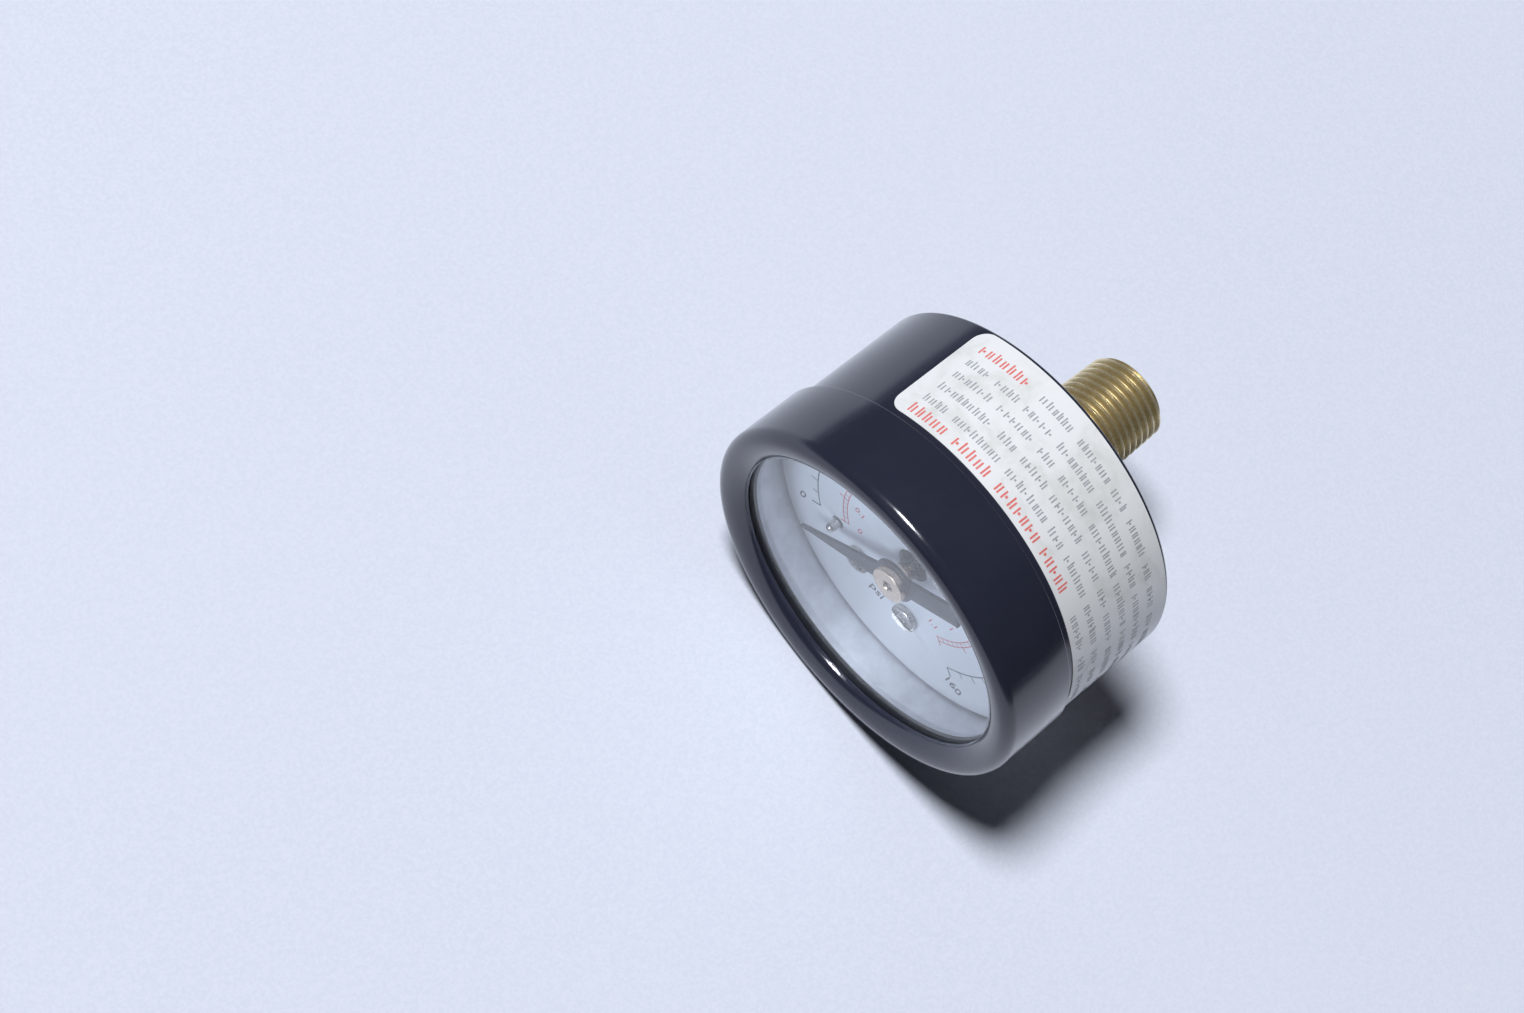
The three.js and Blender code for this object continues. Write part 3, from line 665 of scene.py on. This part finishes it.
build("case_cup", shell, [BLACK, INNER], replaces=("case",))

# ------------------------------------------------------------------ window, gasket
window = [(0.0, 1.6), (10.0, 1.6), (20.25, 1.6), (20.4, 1.75), (20.4, 3.0), (20.3, 3.1), (10.0, 3.1), (0.0, 3.1)]
build("window_lens", lathe(window, 224), GLASS, replaces=("window",))
gasket = arc(17.78, 3.33, 0.17, 180, 270, 4) + arc(20.22, 3.33, 0.17, 270, 360, 4) + arc(20.22, 3.50, 0.17, 0, 90, 4) + arc(17.78, 3.50, 0.17, 90, 180, 4)
build("window_gasket_ring", lathe(gasket, 200), RUBBER, replaces=("window_gasket",))

# ------------------------------------------------------------------ dial and its printing
STOP = (-8.25, -8.15)
SX, SZ = 3.9, -9.2
dial = plate([ring(0, 0, 19.5, 200), ring(0, 0, 2.0, 64), ring(-SX, SZ, 0.92, 32), ring(SX, SZ, 0.92, 32), ring(*STOP, 0.8, 32)], 8.9, 9.4, 0.05)
build("dial_plate", dial, DIAL, replaces=("dial",))

ZERO, SWEEP = 220.0, 260.0
black, red = Geo(), Geo()
black.merge(arc_band(13.93, 14.08, ZERO, ZERO - SWEEP))
for i in range(33):
    a = ZERO - SWEEP * i / 32
    major, half = i % 4 == 0, i % 2 == 0
    black.merge(tick(14.05, 15.35 if major else 15.0 if half else 14.8, a, 0.2 if major else 0.12))
    if major:
        x, z = polar(16.75, a)
        black.merge(text(str(5 * i), 1.75, x, z, weight=0.02))
black.merge(text("psi", 1.9, 0.0, -11.35, weight=0.02))
for i in range(12):
    a = ZERO - SWEEP / 160 * 14.5038 * i
    red.merge(tick(9.6, 10.9, a, 0.14))
    if i < 11:
        for k in (1, 2, 3, 4):
            red.merge(tick(9.65, 10.2, a - SWEEP / 160 * 14.5038 * k / 5, 0.09))
    x, z = polar(7.9, a)
    red.merge(text("0" if i == 0 else f"{i / 10:g}", 1.25, x, z, weight=0.012))
red.merge(arc_band(9.55, 9.66, ZERO, ZERO - SWEEP))
red.merge(arc_band(10.16, 10.27, ZERO, ZERO - SWEEP))
build("dial_scale_black", black, INK_BLACK, weld=0, sharp=20)
build("dial_scale_red", red, INK_RED, weld=0, sharp=20)

for side, k, deg in (("left", -1, -4), ("right", 1, 3)):
    at = (k * SX, SZ)
    build(f"dial_screw_{side}_cut", slotted_screw(at, 1.65, 0.8, 0.8, 8.07, 12.3, deg, 0.42, 0.36), SCREW, replaces=(f"dial_screw_{side}",))
    build(f"dial_spacer_{side}_turned", lathe([(0.92, 9.44), (1.74, 9.44), (1.8, 9.5), (1.8, 10.9), (1.74, 10.96), (0.92, 10.96)], 48, at), PLATE, replaces=(f"dial_spacer_{side}",))
pin = [(0.0, 7.4)] + [(0.56 * math.sin(rad(t)), 7.96 - 0.56 * math.cos(rad(t))) for t in range(15, 91, 15)] + [(0.56, 8.80), (0.5, 8.86), (0.42, 8.88), (0.42, 10.0), (0.36, 10.1), (0.0, 10.1)]
build("stop_pin_turned", lathe(pin, 40, STOP), SCREW, replaces=("stop_pin",))

# ------------------------------------------------------------------ pointer, boss
REST = 224.0


def turned_to(pts, deg):
    c, s = math.cos(rad(deg)), math.sin(rad(deg))
    return [(x * c - z * s, x * s + z * c) for x, z in pts]


needle = [polar(2.6, d) for d in range(28, 151, 6)]
needle += round_corners([(-8.85, 1.66), (-9.25, 1.34), (-9.25, -1.34), (-8.85, -1.66)], 0.25, 4)
needle += [polar(2.6, d) for d in range(210, 333, 6)]
needle += [(14.25, -0.14), (14.46, -0.08), (14.55, 0.0), (14.46, 0.08), (14.25, 0.14)]
build("pointer_blade", plate([turned_to(needle, REST), ring(0, 0, 1.16, 40)], 6.15, 6.55, 0.05), POINTER, "pointer_assembly", replaces=("pointer",))
hub = [(0.6, 5.36), (0.7, 5.26), (0.78, 5.25), (1.9, 5.25)] + arc(1.95, 5.4, 0.15, -90, 0, 5) + [(2.1, 6.08), (2.06, 6.12), (1.12, 6.12), (1.12, 6.58), (1.5, 6.58), (1.47, 6.7), (1.36, 7.1), (1.02, 8.15), (0.97, 8.2), (0.64, 8.2), (0.6, 8.16)]
build("pointer_boss", lathe(hub, 72), BOSS, "pointer_assembly", replaces=("pointer_hub",))

# ------------------------------------------------------------------ label
L_R0, L_R1 = 20.73, 20.795
L_A0, L_SWEEP = 133.3, 180.0
L_S0, L_S1 = 9.7, 23.1
L_LEN = rad(L_SWEEP) * L_R1
L_RC = 1.7


def on_case(u, s, r):
    a = L_A0 - math.degrees(u / L_R1)
    x, z = polar(r, a)
    return (x, Y(s), z)


def label_body():
    us = [L_RC * (1 - math.cos(rad(t))) for t in range(0, 91, 10)]
    inner = [us[-1] + (L_LEN - 2 * L_RC) * i / 110 for i in range(1, 110)]
    us = us + inner + [L_LEN - u for u in reversed(us)]
    rows = 8
    v, f = [], []
    for r in (L_R1, L_R0):
        for u in us:
            e = min(u, L_LEN - u)
            trim = L_RC - math.sqrt(max(0.0, L_RC ** 2 - (L_RC - e) ** 2)) if e < L_RC else 0.0
            for j in range(rows + 1):
                s = L_S0 + trim + (L_S1 - L_S0 - 2 * trim) * j / rows
                v.append(on_case(u, s, r))
    n, w = len(us), rows + 1
    base = n * w
    for i in range(n - 1):
        for j in range(rows):
            a = i * w + j
            f.append((a, a + w, a + w + 1, a + 1))
            f.append((base + a, base + a + 1, base + a + w + 1, base + a + w))
    for i in range(n - 1):
        for a, b in ((i * w, (i + 1) * w), (i * w + rows, (i + 1) * w + rows)):
            f.append((a, b, base + b, base + a))
    for j in range(rows):
        for i in (0, n - 1):
            a = i * w + j
            f.append((a, a + 1, base + a + 1, base + a))
    return Geo().add(v, f)


build("label_film", label_body(), LABEL, sharp=50, replaces=("label",))


def block(g, u0, u1, s0, s1):
    """A small raised block of printing bent round the case."""
    n = max(1, math.ceil((u1 - u0) / 0.7))
    v, f = [], []
    for i in range(n + 1):
        u = u0 + (u1 - u0) * i / n
        for r in (L_R1 - 0.01, L_R1 + 0.012):
            for s in (s0, s1):
                v.append(on_case(u, s, r))
    for i in range(n):
        a, b = 4 * i, 4 * i + 4
        f += [(a, b, b + 1, a + 1), (a + 2, a + 3, b + 3, b + 2), (a, a + 2, b + 2, b), (a + 1, b + 1, b + 3, a + 3)]
    f += [(0, 1, 3, 2), (4 * n, 4 * n + 2, 4 * n + 3, 4 * n + 1)]
    g.add(v, f)


def dashes(g, rng, a_start, a_end, s, height, words=(3, 9), cell=(0.62, 0.98)):
    """A row of plain strokes in word-length groups: filler in place of wording."""
    u, end = rad(L_A0 - a_start) * L_R1, rad(L_A0 - a_end) * L_R1
    lo, hi = s - height / 2, s + height / 2
    while u < end - 0.4:
        for _ in range(rng.randint(*words)):
            w = rng.uniform(*cell)
            if u + w > end:
                break
            t, kind = height * 0.2, rng.random()
            block(g, u, u + t, lo, hi + (height * 0.26 if kind < 0.25 else 0.0))
            if kind < 0.7:
                block(g, u + w * 0.6 - t, u + w * 0.6, lo, hi)
            else:
                block(g, u + w * 0.6 - 1.4 * t, u + w * 0.6, s - t * 0.7, s + t * 0.7)
            u += w
        u += rng.uniform(0.7, 1.1)


rng = random.Random(11)
lab_red, lab_grey = Geo(), Geo()
dashes(lab_red, rng, 128.0, 108.5, 20.8, 1.0, (7, 8), (0.90, 0.98))
dashes(lab_grey, rng, 105.0, -38.0, 20.75, 0.8)
dashes(lab_grey, rng, 127.5, -39.0, 18.7, 0.8)
dashes(lab_grey, rng, 127.0, -37.0, 16.75, 0.8)
dashes(lab_grey, rng, 127.0, -40.0, 14.7, 0.8)
dashes(lab_grey, rng, 127.0, -10.0, 12.65, 0.8)
dashes(lab_red, rng, 127.3, 57.0, 10.8, 1.05, (3, 7), (0.95, 1.08))
dashes(lab_grey, rng, 50.5, 12.0, 10.75, 0.8)
build("label_marks_red", lab_red, LABEL_RED, weld=0, sharp=30)
build("label_marks_grey", lab_grey, LABEL_GREY, weld=0, sharp=30)

# ------------------------------------------------------------------ socket: block from the CAD, stem with a true helix
PITCH = 25.4 / 27
T0, T1 = 29.7, OVERALL


def stem():
    crest = lambda s: 4.99 + (OVERALL - s) / 32
    # phase 0.5 is the crest; fractions of the depth below the crest
    stations = [(0.0, 1.0), (0.04, 0.985), (0.09, 0.9), (0.25, 0.56), (0.40, 0.17), (0.45, 0.05), (0.5, 0.0), (0.55, 0.05), (0.60, 0.17), (0.75, 0.56), (0.91, 0.9), (0.96, 0.985)]

    def depth(phase):
        phase %= 1.0
        pts = stations + [(1.0, 1.0)]
        for (p0, d0), (p1, d1) in zip(pts, pts[1:]):
            if p0 <= phase <= p1:
                return d0 + (d1 - d0) * (phase - p0) / (p1 - p0)
        return 1.0

    def radius(s, theta):
        r = crest(s) - 0.70 * depth((s / PITCH + theta / (2 * math.pi)) + 0.5)
        fade = min(1.0, max(0.0, (s - T0) / 1.1))          # run-out towards the square
        r = crest(s) * (1 - fade) + r * fade
        r = min(r, 5.0 + (s - T0) * 0.9)                   # chamfer at the neck
        return min(r, 4.32 + (OVERALL - s) * 1.05)         # chamfer at the end

    seg = 144
    first, last = math.floor(T0 / PITCH) - 2, math.ceil(T1 / PITCH) + 2
    phases = [(k + p) * PITCH for k in range(first, last) for p, _ in stations]
    g = Geo()
    rows = []
    for s0 in phases:
        row = []
        for k in range(seg + 1):
            theta = 2 * math.pi * k / seg
            s = min(T1, max(T0, s0 - PITCH * theta / (2 * math.pi)))
            r = radius(s, theta)
            row.append(len(g.v))
            g.v.append((r * math.cos(theta), Y(s), r * math.sin(theta)))
        rows.append(row)
    for a, b in zip(rows, rows[1:]):
        for k in range(seg):
            q = (a[k], a[k + 1], b[k + 1], b[k])
            p = [Vector(g.v[i]) for i in q]
            if (p[0] - p[3]).length + (p[1] - p[2]).length < 2e-4:
                continue
            g.f.append(q)
            g.m.append(0)

    def loop(r, s):
        start = len(g.v)
        for k in range(seg):
            a = 2 * math.pi * k / seg
            g.v.append((r * math.cos(a), Y(s), r * math.sin(a)))
        return list(range(start, start + seg))

    def strip(a, b):
        for k in range(seg):
            j = (k + 1) % seg
            g.f.append((a[k], a[j], b[j], b[k]))
            g.m.append(0)
    # end face, mouth chamfer, bore, back face, neck up to the thread's first ring
    rings = [loop(4.32, T1), loop(2.33, T1), loop(1.75, T1 - 0.55), loop(1.75, 28.6), loop(4.99, 28.6), loop(5.0, 28.7), loop(5.0, T0)]
    for a, b in zip(rings, rings[1:]):
        strip(a, b)
    return g


block_geo = boolean(cad("socket"), [box(-7, 7, 29.02, 41, -7, 7)])
block_geo = bevelled(block_geo, 0.09, 2)
build("socket_block", block_geo, BRASS, sharp=35, replaces=("socket",))
build("socket_stem", stem(), THREAD, sharp=55, weld=2e-4, replaces=("socket",))
build("restrictor_screw", boolean(lathe([(0.25, 36.1), (1.6, 36.1), (1.67, 36.17), (1.67, 38.23), (1.6, 38.3), (0.25, 38.3)], 48), [box(-2, 2, 37.8, 38.7, -0.25, 0.25)]), PLATE, replaces=("restrictor",))
for side, k in (("left", -1), ("right", 1)):
    build(f"case_screw_{side}_cut", slotted_screw((k * 8.3, 0), 1.9, 1.1, 0.93, 20.65, 24.75, 30 * k, 0.5, 0.45, flip=True), SCREW, replaces=(f"case_screw_{side}",))

# ------------------------------------------------------------------ movement, inside the case
for node in ("front_plate", "rear_plate", "pillar_left", "pillar_right", "hairspring_stud"):
    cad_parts[node].data.materials.clear()
    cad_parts[node].data.materials.append(PLATE)

KEEP = {"hairspring": SPRING, "hairspring_collet": PLATE, "sector_gear": PLATE, "tube_tip": PLATE, "sector_arbor": ARBOR, "pinion_arbor": ARBOR,
        "link": STEEL, "tip_pin": ARBOR, "sector_pin": ARBOR, "plate_screw_left": SCREW, "plate_screw_right": SCREW,
        "movement_screw_left": SCREW, "movement_screw_right": SCREW}
for node, material in KEEP.items():
    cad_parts[node].data.materials.clear()
    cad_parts[node].data.materials.append(material)


def tube():
    """The Bourdon tube: flattened section bent to an arc, closed at the free end by its tip."""
    n, m = 120, 28
    R, S, hr, ha, wall = 15.2, 15.25, 0.8, 2.2, 0.25
    a0, a1 = 262.0, -12.0
    g = Geo()

    def section(k, hr, ha):
        a = 2 * math.pi * k / m
        c, s = math.cos(a), math.sin(a)
        return (hr * math.copysign(abs(c) ** 0.7, c), ha * math.copysign(abs(s) ** 0.8, s))
    shells = []
    for dr, da in ((hr, ha), (hr - wall, ha - wall)):
        rows = []
        for i in range(n + 1):
            phi = a0 + (a1 - a0) * i / n
            row = []
            for k in range(m):
                u, w = section(k, dr, da)
                x, z = polar(R + u, phi)
                row.append(len(g.v))
                g.v.append((x, Y(S + w), z))
            rows.append(row)
        shells.append(rows)
    for rows in shells:
        for a, b in zip(rows, rows[1:]):
            for k in range(m):
                j = (k + 1) % m
                g.f.append((a[k], a[j], b[j], b[k]))
                g.m.append(0)
    for i in (0, n):
        a, b = shells[0][i], shells[1][i]
        for k in range(m):
            j = (k + 1) % m
            g.f.append((a[k], a[j], b[j], b[k]))
            g.m.append(0)
    return g


tube_ob = build("bourdon_tube_bent", tube(), TUBE, parent=False, sharp=60)
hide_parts("bourdon_tube")
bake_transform(tube_ob)

# ------------------------------------------------------------------ floor, light, camera
floor_z = CAD_BOX[0].z


def make_floor():
    me = bpy.data.meshes.new("floor")
    w = 1.6
    me.from_pydata([(-w, -w, floor_z), (w, -w, floor_z), (w, w, floor_z), (-w, w, floor_z)], [], [(0, 1, 2, 3)])
    ob = bpy.data.objects.new("floor", me)
    bpy.context.scene.collection.objects.link(ob)
    m = Mat("pale_floor")
    n, weave = m.noise(0.02, 3, 0.5), m.noise(2.6, 2, 0.6)
    cloth = m.mix(m.remap(weave, 0.35, 0.65, 0, 1), m.mix(n, (0.735, 0.765, 0.85), (0.765, 0.795, 0.88)), (0.80, 0.825, 0.90))
    # pale near the part, with painted shade far from it: the floor's colour darkens from 170 to 420 mm out, standing in
    # for light falling off in a dim room
    painted_falloff = m.remap(m.vec("LENGTH", m.vec("MULTIPLY", m.p, (1, 1, 0)).outputs[0]).outputs["Value"], 170.0, 420.0, 0.0, 1.0, True)
    m.link(Base_Color=m.mix(painted_falloff, cloth, (0.11, 0.117, 0.135)))
    m.set(Roughness=0.9)
    me.materials.append(m.m)
    ob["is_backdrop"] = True


make_floor()
world = bpy.data.worlds.new("studio")
bpy.context.scene.world = world
world.use_nodes = True
bg = world.node_tree.nodes.get("Background") or world.node_tree.nodes.new("ShaderNodeBackground")
bg.inputs["Color"].default_value = (0.72, 0.80, 1.0, 1)
bg.inputs["Strength"].default_value = 0.016


def area(name, direction, distance, size, power, color=(1, 1, 1), target=(0, -0.02, -0.01)):
    li = bpy.data.lights.new(name, "AREA")
    li.shape, li.size, li.energy, li.color = "DISK", size, power, color
    ob = bpy.data.objects.new(name, li)
    bpy.context.scene.collection.objects.link(ob)
    d = Vector(direction).normalized()
    ob.location = Vector(target) + d * distance
    ob.rotation_mode = "QUATERNION"
    ob.rotation_quaternion = (-d).to_track_quat("-Z", "Y")
    return ob


area("key", (-0.355, -0.17, 0.92), 2.2, 0.50, 52.0, (0.90, 0.93, 1.0))
area("front_fill", (-0.25, -0.80, 0.55), 1.6, 0.9, 0.2, (0.88, 0.93, 1.0))

# a low soft light for the dial and what is on it, which the deep bezel keeps in shade otherwise
inside = bpy.data.collections.new("lit_through_the_window")
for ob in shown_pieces():
    if ob.name not in ("bezel_ring", "case_cup", "label_film", "label_marks_red", "label_marks_grey", "socket_block", "socket_stem"):
        inside.objects.link(ob)
area("face_fill", (-0.14, -0.92, 0.34), 0.8, 0.40, 3.4, (0.80, 0.88, 1.0)).light_linking.receiver_collection = inside

cam_data = bpy.data.cameras.new("camera")
cam = bpy.data.objects.new("camera", cam_data)
bpy.context.scene.collection.objects.link(cam)
cam_data.sensor_fit, cam_data.sensor_width, cam_data.lens = "HORIZONTAL", 36.0, 70.87
cam_data.clip_start, cam_data.clip_end = 0.01, 10.0
axes = ((0.61549, 0.73403, 0.28700), (-0.78767, 0.56053, 0.25565), (0.02678, -0.38342, 0.92317))
cam.matrix_world = Matrix.Translation((-0.00601, -0.11710 - OVERALL * MM, 0.27919)) @ Matrix(axes).transposed().to_4x4()
bpy.context.scene.camera = cam
bpy.context.scene.view_settings.view_transform = "Standard"
bpy.context.scene.view_settings.look = "None"
bpy.context.scene.view_settings.exposure = 0.0
